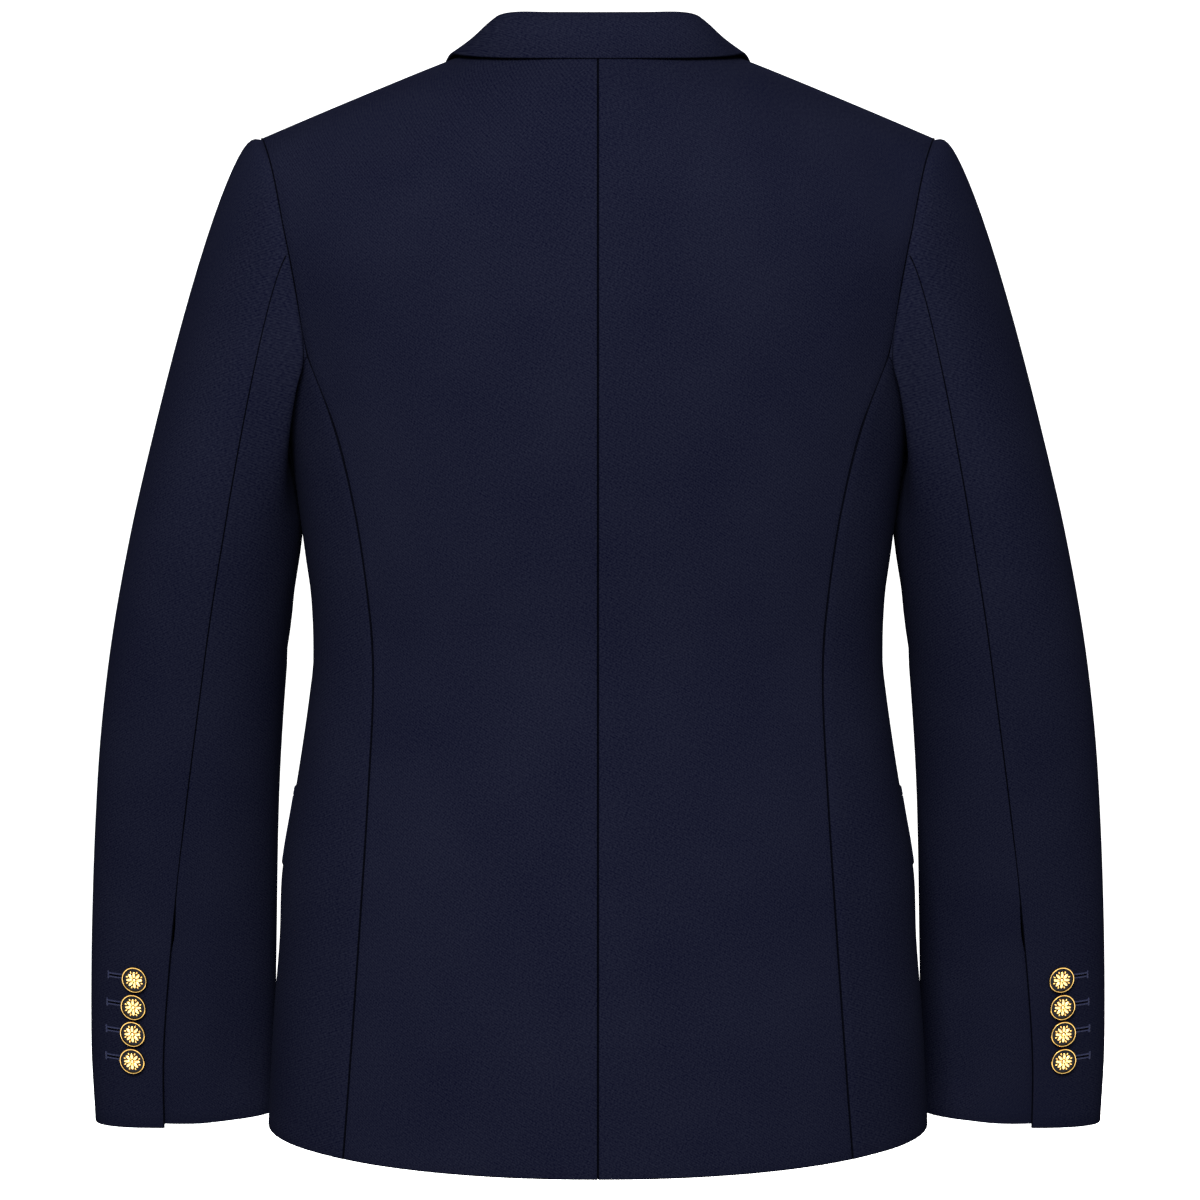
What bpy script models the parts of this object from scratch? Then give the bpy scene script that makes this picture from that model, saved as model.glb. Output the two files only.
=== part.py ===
"""A double-breasted jacket in navy wool, filled out as if it were worn.

The front faces -Y and the wearer's left is +X. The origin lies on the centre line at the height of the
neck points, where the shoulders hold the jacket up. Sizes are in millimetres, and MM turns them to metres.
Every cloth piece is a thin wall on one of the jacket's surfaces: the torso, the sleeve or the collar.
A drop is a distance down from the neck points, as a tailor measures it.
"""

import math

import bmesh
import bpy
import numpy as np

MM = 0.001

# Cloth and seams
CLOTH = 2.0  # wall of the body pieces: wool with its canvas
SLEEVE_CLOTH = 1.8
TRIM_CLOTH = 1.3  # flaps and welts
STAND_CLOTH = 1.8
HALF_SEAM = 0.16  # half of the gap between two pieces at a seam
STEP = 0.4  # step for taking a surface's slope
SEAM_SPREAD = 1.3  # a seam that leans needs this much more gap, measured level
SHOULDER_SPREAD = 2.0  # the shoulder seam's gap, in half seams, taken from each side
EVENING = 12  # rounds of evening out a panel's grid

# Shoulder line: a soft arch that falls away from the neck
RIDGE_TOP = 18.8
RIDGE_SLOPE = 0.43
RIDGE_SOFTNESS = 45.0
BACK_TURN = 120.0  # how far below the shoulder line the back reaches its full depth
FRONT_TURN = 190.0
NECK_X = 75.0
SHOULDER_X = 219.5

# Level sections of the torso, from above the neck to below the hem
TORSO_COLUMNS = ("drop", "half_width", "back_depth", "front_depth", "back_square", "front_square")
TORSO_ROWS = (
    (-40, 252, 104, 70, 2.00, 2.20),
    (0, 250, 106, 78, 2.00, 2.20),
    (60, 245, 113, 94, 2.00, 2.25),
    (120, 237, 120, 112, 2.05, 2.30),
    (180, 219, 123, 127, 2.15, 2.35),
    (245, 205, 121, 134, 2.25, 2.40),
    (321, 194, 114, 130, 2.30, 2.40),
    (388, 188, 108, 122, 2.30, 2.40),
    (450, 194.3, 110, 121, 2.30, 2.40),
    (508, 204.3, 115, 122, 2.30, 2.40),
    (540, 209.7, 117.5, 123, 2.30, 2.40),
    (575, 211.2, 120.5, 124, 2.30, 2.40),
    (650, 216.9, 125, 126, 2.30, 2.40),
    (735, 221.5, 128, 128, 2.30, 2.40),
)
TORSO_CENTRE_Y = -5.0
TORSO_CENTRE_DROP = 250.0
SIDE_RADIUS = 160.0  # rough distance of the side seams from the torso's middle line

# Hem
HEM_BACK = 720.8
HEM_SIDE = 712.0
HEM_FRONT = 724.0

# Neckline, as x and drop: of the back from its centre, and of the front from the roll line's upper end.
# Both end at the neck point, on the shoulder line.
BACK_NECK_ROWS = ((0, 4.5), (20, 4.35), (38, 3.9), (53, 3.0), (64, 1.6), (71, 0.3))
FRONT_NECK_ROWS = ((64.5, 27), (70, 13.5))

# Seam between back and side body, upwards from the hem
BACK_SEAM_COLUMNS = ("drop", "x")
BACK_SEAM_ROWS = (
    (197.6, 186.2),
    (210, 181.0),
    (250, 166.2),
    (280, 159.2),
    (304, 154.2),
    (351, 147.9),
    (396, 144.5),
    (428, 145.2),
    (501, 149.2),
    (574, 154.1),
    (649, 159.6),
    (720, 165.2),
)
FRONT_SEAM_COLUMNS = ("drop", "x")
FRONT_SEAM_ROWS = (
    (214, 187.5),
    (260, 176),
    (321, 166),
    (388, 160),
    (450, 163),
    (508, 172),
    (575, 180),
    (650, 185),
    (720, 188),
)
SEAM_BANDS = 14
SHOULDER_BANDS = 5

# Armhole, as three runs: down the back, under the arm on the side body, and up the front
BACK_ARM_COLUMNS = ("drop", "x")
BACK_ARM_ROWS = (
    (58.2, 219.5),
    (68, 214.1),
    (86, 208.3),
    (117.7, 201.1),
    (136.8, 196.9),
    (166, 191.7),
    (197.6, 186.2),
)
BACK_ARM_DROPS = (69, 83, 99, 116, 132.5, 165, 197.6)
UNDER_ARM_COLUMNS = ("share", "drop")
UNDER_ARM_ROWS = ((0, 197.6), (0.2, 224), (0.4, 240), (0.6, 244), (0.8, 233.5), (1, 214))
FRONT_ARM_COLUMNS = ("drop", "x")
FRONT_ARM_ROWS = (
    (58.2, 219.5),
    (75, 209),
    (98, 199),
    (128, 190.5),
    (165, 185.5),
    (190, 185),
    (214, 187.5),
)
FRONT_ARM_DROPS = (214, 196, 177, 157, 136, 115, 94, 75)
HIND_SEAM_AT = 5  # place of the hind-arm seam among the armhole's points down the back
FORE_SEAM_AT = 1  # place of the fore-arm seam among the armhole's points up the front

# Fronts: edge, roll line and overlap
FRONT_EDGE_X = -78.0
BREAK_DROP = 385.0
ROLL_TOP = (60.0, 38.0)  # x and drop of the roll line's upper end
EDGE_BANDS = 8
ROLL_BANDS = 11
LAP_LIFT = 6.2  # how far the left front lies outside the right one
LAP_FULL_X = 84.0
LAP_END_X = 150.0
LAP_START_DROP = 80.0
LAP_FULL_DROP = 172.0

# Lapel: along is measured down the roll line, across at right angles to it
LAPEL_COLUMNS = ("along", "across")
LAPEL_EDGE_ROWS = ((373.4, 3.5), (345, 19), (300, 42), (220, 71), (120, 87), (60, 87), (-12, 79))
LAPEL_NOTCH = (17.9, 57.4)
LAPEL_GAP = 2.2  # between the turned lapel and the front
LAPEL_ROLL = 3.6  # outer radius of the soft roll
LAPEL_CREASE = 2.6  # outer radius where the roll is pressed flat
LAPEL_EASE = 15.0  # how far from the roll the lapel comes down onto the front
CREASE_STARTS = {"left": 230.0, "right": 110.0}  # along the roll: the left front covers the right lapel
CREASE_LENGTH = 70.0
ROLL_DEGREES = (0, 45, 90, 135)
THROAT = 0.9  # the lapel's upper end keeps clear of the collar by this
GORGE_END = (15.3, 56.6)

# Collar, by the neckline's points from the centre back: the fold, the free edge, and how far the fall
# swells. Points are doubled on the front, where a row stands for every second one.
COLLAR_COLUMNS = ("station", "fold_x", "fold_y", "fold_z", "edge_x", "edge_y", "edge_z", "swell")
COLLAR_ROWS = (
    (0, 0, 49, 21.0, 0, 64.5, -9.0, 9),
    (1, 20, 47.8, 21.1, 28, 61.5, -8.8, 9),
    (2, 36, 44, 21.4, 51, 54, -8.4, 9),
    (3, 51, 38, 21.8, 69, 43.5, -7.6, 8),
    (4, 63, 28, 20.4, 84, 28.5, -6.0, 4.5),
    (5, 68, 15.5, 16.5, 92.0, 11, -4.0, 1.6),
    (6, 70, -1, 11.5, 96.5, -4, -3.6, 1.0),
    (8, 70, -33, -3.5, 103.5, -32, -16.5, 2.5),
    (10, 66.5, -49.5, -19.5, 105.5, -56, -41, 2.5),
)
COLLAR_STATIONS = 12
FOLD_END = (-2.2, 4.2)  # the fold's front end: beyond the roll line, and above the front
END_SWELL = 2.0
FALL_BANDS = 4
FALL_BEND = 0.4  # where the fall turns over, as a share of the way from fold to edge
STAND_CLEAR = 0.6
STAND_BEHIND = 1.3  # the stand's upper edge, behind and below the fold
STAND_BELOW = 2.4
STAND_SHORT = 8.0  # the stand ends this far above the lapel

# Sleeve: level sections down from the biceps
SLEEVE_COLUMNS = ("drop", "centre_x", "centre_y", "half_x", "half_y", "turned")
SLEEVE_ROWS = (
    (323, 253.8, -20, 57.2, 62, 0.0),
    (377, 263.5, -29, 59.0, 58, 0.6),
    (440, 272.0, -41, 60.8, 53, 2.5),
    (502, 277.4, -51, 61.8, 48, 6.6),
    (586, 281.7, -63, 63.0, 41, 13.2),
    (672, 284.2, -73, 63.2, 35, 19.0),
    (729, 284.0, -79, 62.2, 31, 20.5),
)
SLEEVE_DROPS = (323, 372, 422, 472, 522, 566, 601, 640, 682, 725)
VENT_TOP = 601
CUFF_TILT = 3.5  # the outer side of the cuff hangs lower by this
CAP_SHARES = (0.0, 0.08, 0.2, 0.36, 0.56, 0.78)
HIND_ANGLE = -10.0
FORE_ANGLE = -150.0
SHOULDER_ANGLE = -270.0
UNDERLAP = 10.0
UNDERLAP_DEPTHS = (2.7, 4.5)  # at the top of the vent and at the hem
VENT_HANG = 2.0  # the top sleeve hangs this much lower at the vent
# How the sleeve leaves the armhole: at the top, back, under the arm and front
CAP_START_TOP = (25, 0, 16)
CAP_START_BACK = (12, 12, -14)
CAP_START_UNDER = (4, 0, -16)
CAP_START_FRONT = (12, -14, -14)
CAP_REACH = 0.3
CAP_REACH_TOP = 0.08
CAP_STEP = 12.0  # length of sleeve that gives the direction in which the cap arrives
ARMHOLE_GAP = 0.5

# Hip pockets
FLAP_BACK_ANGLE = 92.0
FLAP_FRONT_ANGLE = 135.0
FLAP_TOP = 493.5
FLAP_DEEP = 51.0
FLAP_CORNER = 12.0
WELT_DEEP = 6.0
FLAP_CLEAR = 0.55
FLAP_ROWS = 3
FLAP_BANDS = 13
FLAP_CROWDING = 0.03  # draws the bands together towards the corners
WELT_GAP = 0.4
MM_PER_DEGREE = 3.3  # around the torso at the pockets

# Buttons: a turned profile as shares of the radius, and heights above the cloth. On the cuff each one has
# its drop, and its angle from straight back when the sleeve's turn is left out.
CUFF_BUTTON_RADIUS = 9.0
CUFF_BUTTON_ROWS = ((619.9, 27.1), (639.3, 27.9), (658.3, 28.6), (677.6, 29.2))
CUFF_BUTTON_LEAN = 0.12  # the buttons tip this much towards the back
FRONT_BUTTON_RADIUS = 11.0
FRONT_BUTTON_ROWS = (("top", 84.0, 300.0), ("middle", 57.0, 402.0), ("bottom", 57.0, 504.0))
SHANK_TOP = 1.5  # heights above this grow with the button's size
BUTTON_COLUMNS = ("radius_share", "height")
BUTTON_ROWS = ((0.36, 0.7), (0.36, 1.5), (0.93, 1.7), (1.0, 2.6), (0.9, 3.7), (0.45, 4.3))
BUTTON_CROWN = 4.5
BUTTON_SIDES = 12


def clear_scene():
    for thing in list(bpy.data.objects):
        bpy.data.objects.remove(thing, do_unlink=True)


def as_linear(code):
    """An sRGB hex colour as linear red, green, blue and alpha."""
    parts = [int(code[i : i + 2], 16) / 255 for i in (1, 3, 5)]
    return [p / 12.92 if p <= 0.04045 else ((p + 0.055) / 1.055) ** 2.4 for p in parts] + [1.0]


def material(name, colour, roughness, metallic=0.0):
    made = bpy.data.materials.new(name)
    made.use_nodes = True
    shader = made.node_tree.nodes["Principled BSDF"]
    shader.inputs["Base Color"].default_value = as_linear(colour)
    shader.inputs["Roughness"].default_value = roughness
    shader.inputs["Metallic"].default_value = metallic
    made.diffuse_color = as_linear(colour)
    return made


def smoothstep(share):
    share = min(1.0, max(0.0, share))
    return share * share * (3 - 2 * share)


def table(columns, rows):
    """A table as one list for each named column."""
    return {name: [row[i] for row in rows] for i, name in enumerate(columns)}


def read(source, column, at):
    """The column's value at a place in the first column, which rises, on a smooth curve through the rows."""
    keys = next(iter(source.values()))
    values = source[column]
    last = len(keys) - 1
    at = min(max(at, keys[0]), keys[last])
    i = max(k for k in range(last) if keys[k] <= at)

    def slope(k):
        low = max(k - 1, 0)
        high = min(k + 1, last)
        return (values[high] - values[low]) / (keys[high] - keys[low])

    width = keys[i + 1] - keys[i]
    t = (at - keys[i]) / width
    a = (2 * t**3 - 3 * t**2 + 1) * values[i] + (t**3 - 2 * t**2 + t) * width * slope(i)
    return a + (3 * t**2 - 2 * t**3) * values[i + 1] + (t**3 - t**2) * width * slope(i + 1)


TORSO = table(TORSO_COLUMNS, TORSO_ROWS)
BACK_SEAM = table(BACK_SEAM_COLUMNS, BACK_SEAM_ROWS)
FRONT_SEAM = table(FRONT_SEAM_COLUMNS, FRONT_SEAM_ROWS)
BACK_ARM = table(BACK_ARM_COLUMNS, BACK_ARM_ROWS)
UNDER_ARM = table(UNDER_ARM_COLUMNS, UNDER_ARM_ROWS)
FRONT_ARM = table(FRONT_ARM_COLUMNS, FRONT_ARM_ROWS)
COLLAR = table(COLLAR_COLUMNS, COLLAR_ROWS)
SLEEVE = table(SLEEVE_COLUMNS, SLEEVE_ROWS)
BUTTON = table(BUTTON_COLUMNS, BUTTON_ROWS)


# ---------------------------------------------------------------- the torso's surface


def ridge(x):
    """Height of the shoulder line at this distance from the centre."""
    return RIDGE_TOP - RIDGE_SLOPE * (math.hypot(x, RIDGE_SOFTNESS) - RIDGE_SOFTNESS)


def below_ridge(run, turn):
    """Height lost, and share of full depth gained, after a run down the cloth from the shoulder line."""
    if run < turn * math.pi / 2:
        return turn * (1 - math.cos(run / turn)), math.sin(run / turn)
    return turn + run - turn * math.pi / 2, 1.0


def run_to(x, drop, turn):
    """The run down the cloth that reaches this drop."""
    lost = max(0.0, ridge(x) + drop)
    if lost < turn:
        return turn * math.acos(1 - lost / turn)
    return turn * math.pi / 2 + lost - turn


def section_depth(x, drop, half):
    """Depth of the level section at x, in its back or front half."""
    share = min(1.0, abs(x) / read(TORSO, "half_width", drop))
    square = read(TORSO, half + "_square", drop)
    return read(TORSO, half + "_depth", drop) * (1 - share**square) ** (1 / square)


def back_surface(x, run):
    lost, share = below_ridge(run, BACK_TURN)
    z = ridge(x) - lost
    return np.array((x, TORSO_CENTRE_Y + section_depth(x, -z, "back") * share, z))


def front_surface(x, run):
    lost, share = below_ridge(run, FRONT_TURN)
    z = ridge(x) - lost
    return np.array((x, TORSO_CENTRE_Y - section_depth(x, -z, "front") * share, z))


def side_surface(angle, drop):
    """The torso at an angle in degrees from straight back towards the side, and a drop."""
    sine = math.sin(math.radians(angle))
    cosine = math.cos(math.radians(angle))
    half = "back" if cosine > 0 else "front"
    turn = BACK_TURN if cosine > 0 else FRONT_TURN
    square = read(TORSO, half + "_square", drop)
    wide = abs(sine) / read(TORSO, "half_width", drop)
    deep = abs(cosine) / read(TORSO, half + "_depth", drop)
    radius = (wide**square + deep**square) ** (-1 / square)
    x = radius * sine
    share = below_ridge(run_to(x, drop, turn), turn)[1]
    return np.array((x, TORSO_CENTRE_Y + radius * cosine * share, -drop))


def side_angle(x, drop, half):
    """Angle of the side surface at which it passes x, in its back or front half."""
    depth = section_depth(x, drop, half)
    return math.degrees(math.atan2(x, depth if half == "back" else -depth))


def outward(surface, p, q):
    """Unit normal of a torso surface, pointing away from the wearer."""
    step_q = max(q, STEP)
    along_p = surface(p + STEP, q) - surface(p - STEP, q)
    along_q = surface(p, step_q + STEP) - surface(p, step_q - STEP)
    normal = np.cross(along_p, along_q)
    normal /= np.linalg.norm(normal)
    inside = np.array((0, TORSO_CENTRE_Y, -TORSO_CENTRE_DROP))
    return normal if normal @ (surface(p, q) - inside) > 0 else -normal


def hem_drop(x, half):
    """Drop of the hem, which runs from the side to the centre of the back or front."""
    middle = HEM_BACK if half == "back" else HEM_FRONT
    share = min(1.0, abs(x) / read(TORSO, "half_width", HEM_SIDE))
    return HEM_SIDE + (middle - HEM_SIDE) * (1 - share**2)


def lap_lift(x, drop, side):
    """How far the left front stands out to pass over the right one."""
    if side == "right":
        return 0.0
    across = smoothstep((LAP_END_X - x) / (LAP_END_X - LAP_FULL_X))
    return LAP_LIFT * across * smoothstep((drop - LAP_START_DROP) / (LAP_FULL_DROP - LAP_START_DROP))


def on_front(x, drop, side, out):
    """A point that stands this far outside the front."""
    run = run_to(x, drop, FRONT_TURN)
    normal = outward(front_surface, x, run)
    return front_surface(x, run) + normal * (out + lap_lift(x, drop, side))


def shoulder_point(x):
    """Place on the shoulder line, as x and drop."""
    return x, -ridge(x)


def back_armhole():
    """Armhole points down the back from the shoulder, as x and drop."""
    return [shoulder_point(SHOULDER_X)] + [(read(BACK_ARM, "x", d), d) for d in BACK_ARM_DROPS]


def front_armhole():
    """Armhole points up the front to the shoulder, as x and drop."""
    return [(read(FRONT_ARM, "x", d), d) for d in FRONT_ARM_DROPS] + [shoulder_point(SHOULDER_X)]


# ---------------------------------------------------------------- walls


def patch(left, right, bottom, top, rounds=0):
    """A grid of points between four edges, rows from bottom to top, evened out in so many rounds."""
    left, right, bottom, top = (np.array(edge, float) for edge in (left, right, bottom, top))
    v = np.linspace(0, 1, len(left))[:, None, None]
    u = np.linspace(0, 1, len(bottom))[None, :, None]
    ruled = (1 - v) * bottom[None] + v * top[None] + (1 - u) * left[:, None] + u * right[:, None]
    low = (1 - u) * left[0] + u * right[0]
    high = (1 - u) * left[-1] + u * right[-1]
    grid = ruled - (1 - v) * low - v * high
    for _ in range(rounds):
        across = grid[1:-1, :-2] + grid[1:-1, 2:]
        along = grid[:-2, 1:-1] + grid[2:, 1:-1]
        grid[1:-1, 1:-1] = (across + along) / 4
    return grid


def even(start, end, bands):
    """Points at even steps from start to end, both included."""
    start = np.array(start, float)
    return [start + (np.array(end, float) - start) * i / bands for i in range(bands + 1)]


def wall(name, outer, inner, finish, side="left"):
    """One closed piece of cloth between two grids of points, mirrored for the wearer's right."""
    rows, columns = outer.shape[:2]
    count = rows * columns
    points = np.concatenate((outer.reshape(-1, 3), inner.reshape(-1, 3)))
    if side == "right":
        points = points * (-1, 1, 1)
    faces = []
    for r in range(rows - 1):
        for c in range(columns - 1):
            a = r * columns + c
            b = a + 1
            d = a + columns
            e = d + 1
            for face in ((a, b, e), (a, e, d)):
                faces.append(face)
                faces.append([count + i for i in reversed(face)])
    rim = [c for c in range(columns)]
    rim += [r * columns + columns - 1 for r in range(1, rows)]
    rim += [(rows - 1) * columns + c for c in range(columns - 2, -1, -1)]
    rim += [r * columns for r in range(rows - 2, 0, -1)]
    for i, here in enumerate(rim):
        after = rim[(i + 1) % len(rim)]
        faces.append((here, count + here, count + after, after))
    return solid(name, points, faces, finish)


def solid(name, points, faces, finish):
    """An object in metres with its faces turned outwards."""
    mesh = bpy.data.meshes.new(name)
    mesh.from_pydata([tuple(float(v) * MM for v in p) for p in points], [], faces)
    shape = bmesh.new()
    shape.from_mesh(mesh)
    bmesh.ops.recalc_face_normals(shape, faces=shape.faces)
    shape.to_mesh(mesh)
    shape.free()
    mesh.shade_smooth()
    mesh.set_sharp_from_angle(angle=math.radians(50))
    mesh.materials.append(finish)
    made = bpy.data.objects.new(name, mesh)
    bpy.context.scene.collection.objects.link(made)
    return made


def torso_wall(name, surface, grid, finish, side, half=None):
    """A body piece: its outer side on the torso, lifted where the left front laps over."""
    outer = np.zeros(grid.shape[:2] + (3,))
    inner = np.zeros_like(outer)
    for r, row in enumerate(grid):
        for c, (p, q) in enumerate(row):
            point = surface(p, q)
            normal = outward(surface, p, q)
            lift = lap_lift(p, -point[2], side) if half == "front" else 0.0
            outer[r, c] = point + normal * lift
            inner[r, c] = point + normal * (lift - CLOTH)
    return wall(name, outer, inner, finish, side)


# ---------------------------------------------------------------- backs, side bodies and fronts


def back_edge_drops():
    """Drops of the rows along the side-back seam, upwards from the hem."""
    hem = hem_drop(read(BACK_SEAM, "x", HEM_BACK), "back")
    return [d[0] for d in even((hem,), (BACK_ARM_DROPS[-1],), SEAM_BANDS)]


def front_edge_drops():
    """Drops of the rows along the seam between front and side body, upwards from the hem."""
    hem = hem_drop(read(FRONT_SEAM, "x", HEM_FRONT), "front")
    return [d[0] for d in even((hem,), (FRONT_ARM_DROPS[0],), SEAM_BANDS)]


def make_back(side, finish):
    turn = BACK_TURN
    seam = [(read(BACK_SEAM, "x", d), d) for d in back_edge_drops()]
    right = seam + back_armhole()[-2::-1]
    centre = even((HALF_SEAM, hem_drop(0, "back")), (HALF_SEAM, BACK_NECK_ROWS[0][1]), len(right) - 1)
    neck = [(max(x, HALF_SEAM), d) for x, d in BACK_NECK_ROWS]
    top = neck + [shoulder_point(x[0]) for x in even((NECK_X,), (SHOULDER_X,), SHOULDER_BANDS)]
    hem = [(x[0], hem_drop(x[0], "back")) for x in even((HALF_SEAM,), (right[0][0],), len(top) - 1)]
    edges = [[(x, run_to(x, d, turn)) for x, d in edge] for edge in (centre, right, hem, top)]
    grid = patch(*edges, rounds=EVENING)
    grid[: len(seam), -1, 0] -= HALF_SEAM * SEAM_SPREAD
    grid[-1, len(neck) :, 1] += HALF_SEAM * SHOULDER_SPREAD
    torso_wall("back_" + side, back_surface, grid, finish, side)


def make_side(side, finish):
    back = [(side_angle(read(BACK_SEAM, "x", d), d, "back"), d) for d in back_edge_drops()]
    front = [(side_angle(read(FRONT_SEAM, "x", d), d, "front"), d) for d in front_edge_drops()]
    bands = len(UNDER_ARM_ROWS) - 1
    top = []
    for i in range(bands + 1):
        share = i / bands
        angle = back[-1][0] + (front[-1][0] - back[-1][0]) * share
        top.append((angle, read(UNDER_ARM, "drop", share)))
    hem = []
    for angle, drop in even(back[0], front[0], bands):
        half = "back" if angle < 90 else "front"
        hem.append((angle, hem_drop(side_surface(angle, drop)[0], half)))
    grid = patch(back, front, hem, top)
    grid[:, 0, 0] += math.degrees(HALF_SEAM / SIDE_RADIUS)
    grid[:, -1, 0] -= math.degrees(HALF_SEAM / SIDE_RADIUS)
    torso_wall("side_" + side, side_surface, grid, finish, side)


def make_front(side, finish):
    turn = FRONT_TURN
    start = (FRONT_EDGE_X, hem_drop(FRONT_EDGE_X, "front"))
    edge = even(start, (FRONT_EDGE_X, BREAK_DROP), EDGE_BANDS)
    roll = even((FRONT_EDGE_X, BREAK_DROP), ROLL_TOP, ROLL_BANDS)[1:]
    left = edge + roll + list(FRONT_NECK_ROWS) + [shoulder_point(NECK_X)]
    seam = [(read(FRONT_SEAM, "x", d), d) for d in front_edge_drops()]
    right = seam + front_armhole()[1:]
    bands = 2 * SHOULDER_BANDS
    top = [shoulder_point(x[0]) for x in even((NECK_X,), (SHOULDER_X,), bands)]
    hem = [(x[0], hem_drop(x[0], "front")) for x in even((FRONT_EDGE_X,), (right[0][0],), bands)]
    edges = [[(x, run_to(x, d, turn)) for x, d in line] for line in (left, right, hem, top)]
    grid = patch(*edges, rounds=EVENING)
    grid[: len(seam), -1, 0] -= HALF_SEAM * SEAM_SPREAD
    grid[-1, :, 1] += HALF_SEAM * SHOULDER_SPREAD
    torso_wall("front_" + side, front_surface, grid, finish, side, "front")


# ---------------------------------------------------------------- lapels


def roll_frame():
    """Unit steps in x and drop, along the roll line downwards and across it towards the lapel."""
    along = np.array((FRONT_EDGE_X - ROLL_TOP[0], BREAK_DROP - ROLL_TOP[1]))
    along /= np.linalg.norm(along)
    return along, np.array((along[1], -along[0]))


def on_lapel(along, across, side, out):
    """A point over the front, placed by the roll line."""
    down, over = roll_frame()
    x, drop = np.array(ROLL_TOP) + down * along + over * across
    return on_front(x, drop, side, out)


def roll_radius(along, side):
    """Outer radius of the roll: soft above, pressed flat at the break and where the left front covers it."""
    share = smoothstep((along - CREASE_STARTS[side]) / CREASE_LENGTH)
    return LAPEL_ROLL + (LAPEL_CREASE - LAPEL_ROLL) * share


def make_lapel(side, finish):
    length = LAPEL_EDGE_ROWS[0][0]
    outline = table(LAPEL_COLUMNS, sorted(LAPEL_EDGE_ROWS))
    tip = LAPEL_EDGE_ROWS[-1]
    left = even((length, 0), (0, 0), ROLL_BANDS)
    left[-1] = np.array((THROAT, 0))
    right = []
    for along, _ in even((length, 0), (tip[0], 0), ROLL_BANDS):
        right.append((along, read(outline, "across", along)))
    gorge = even(left[-1], LAPEL_NOTCH, 3)
    top = gorge + even(LAPEL_NOTCH, tip, 2)[1:]
    bottom = even(left[0], right[0], len(top) - 1)
    flat = patch(left, right, bottom, top)
    folded = len(ROLL_DEGREES)
    columns = folded + flat.shape[1]
    outer = np.zeros((len(flat), columns, 3))
    inner = np.zeros_like(outer)
    for r, row in enumerate(flat):
        radius = roll_radius(row[0][0], side)
        centre = radius - CLOTH
        for c, degrees in enumerate(ROLL_DEGREES):
            sine = math.sin(math.radians(degrees))
            cosine = math.cos(math.radians(degrees))
            for target, size in ((outer, radius), (inner, radius - CLOTH)):
                beyond = -size * sine - 2 * HALF_SEAM
                target[r, c] = on_lapel(row[0][0], beyond, side, centre - size * cosine)
        for c, (along, across) in enumerate(row):
            rest = min(CLOTH + LAPEL_GAP, centre + radius)
            out = rest + (centre + radius - rest) * math.exp(-across / LAPEL_EASE)
            outer[r, folded + c] = on_lapel(along, across, side, out)
            inner[r, folded + c] = on_lapel(along, across, side, out - CLOTH)
    wall("lapel_" + side, outer, inner, finish, side)


# ---------------------------------------------------------------- collar


def collar_lines():
    """Fold and free edge of the collar on the wearer's left, from the centre back to the gorge."""
    rows = list(COLLAR_ROWS)
    fold_end = on_lapel(0, FOLD_END[0], "right", FOLD_END[1])
    edge_end = on_lapel(*GORGE_END, "right", CLOTH + LAPEL_GAP)
    rows.append((COLLAR_STATIONS, *fold_end, *edge_end, END_SWELL))
    lines = table(COLLAR_COLUMNS, rows)
    stations = range(COLLAR_STATIONS + 1)
    folds = [np.array([read(lines, "fold_" + axis, s) for axis in "xyz"]) for s in stations]
    edges = [np.array([read(lines, "edge_" + axis, s) for axis in "xyz"]) for s in stations]
    return folds, edges, [read(lines, "swell", s) for s in stations]


def away_from_neck(point):
    flat = np.array((point[0], point[1] - TORSO_CENTRE_Y, 0))
    return flat / np.linalg.norm(flat)


def both_sides(half):
    """Rows from the front end on the wearer's right round the back to the one on the left."""
    mirrored = [row * (-1, 1, 1) for row in half[:0:-1]]
    return np.array(mirrored + list(half))


def make_fall(finish):
    outer = []
    inner = []
    for fold, edge, swell in zip(*collar_lines()):
        slope = edge - fold
        slope /= np.linalg.norm(slope)
        swing = away_from_neck(fold) + np.array((0, 0, 1.0))
        normal = swing - slope * (swing @ slope)
        normal /= np.linalg.norm(normal)
        bend = fold + (edge - fold) * FALL_BEND + normal * swell
        line = []
        lining = []
        for i in range(FALL_BANDS + 1):
            t = i / FALL_BANDS
            point = (1 - t) ** 2 * fold + 2 * t * (1 - t) * bend + t * t * edge
            tangent = (1 - t) * (bend - fold) + t * (edge - bend)
            tangent /= np.linalg.norm(tangent)
            side_step = normal - tangent * (normal @ tangent)
            line.append(point)
            lining.append(point - CLOTH * side_step / np.linalg.norm(side_step))
        outer.append(np.array(line))
        inner.append(np.array(lining))
    wall("collar_fall", both_sides(outer), both_sides(inner), finish)


def make_stand(finish):
    """The band inside the neck, from the neck seam to just under the fold."""
    points = []
    for x, drop in BACK_NECK_ROWS + (shoulder_point(NECK_X),):
        points.append(back_surface(x, run_to(x, drop, BACK_TURN)))
    seam = [on_front(x, drop, "right", 0) for x, drop in reversed(FRONT_NECK_ROWS)]
    for point in seam + [on_lapel(-STAND_SHORT, 0, "right", 0)]:
        points += [(points[-1] + point) / 2, point]
    folds = collar_lines()[0]
    folds[-1] = (folds[-1] + folds[-2]) / 2
    outer = []
    inner = []
    for low, fold in zip(points, folds):
        away = away_from_neck(fold)
        start = low + np.array((0, 0, STAND_CLEAR))
        end = fold - away * STAND_BEHIND - np.array((0, 0, STAND_BELOW))
        outer.append(np.array(even(start, end, 2)))
        inner.append(np.array([p - away * STAND_CLOTH for p in outer[-1]]))
    wall("collar_stand", both_sides(outer), both_sides(inner), finish)


# ---------------------------------------------------------------- sleeves


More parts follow.
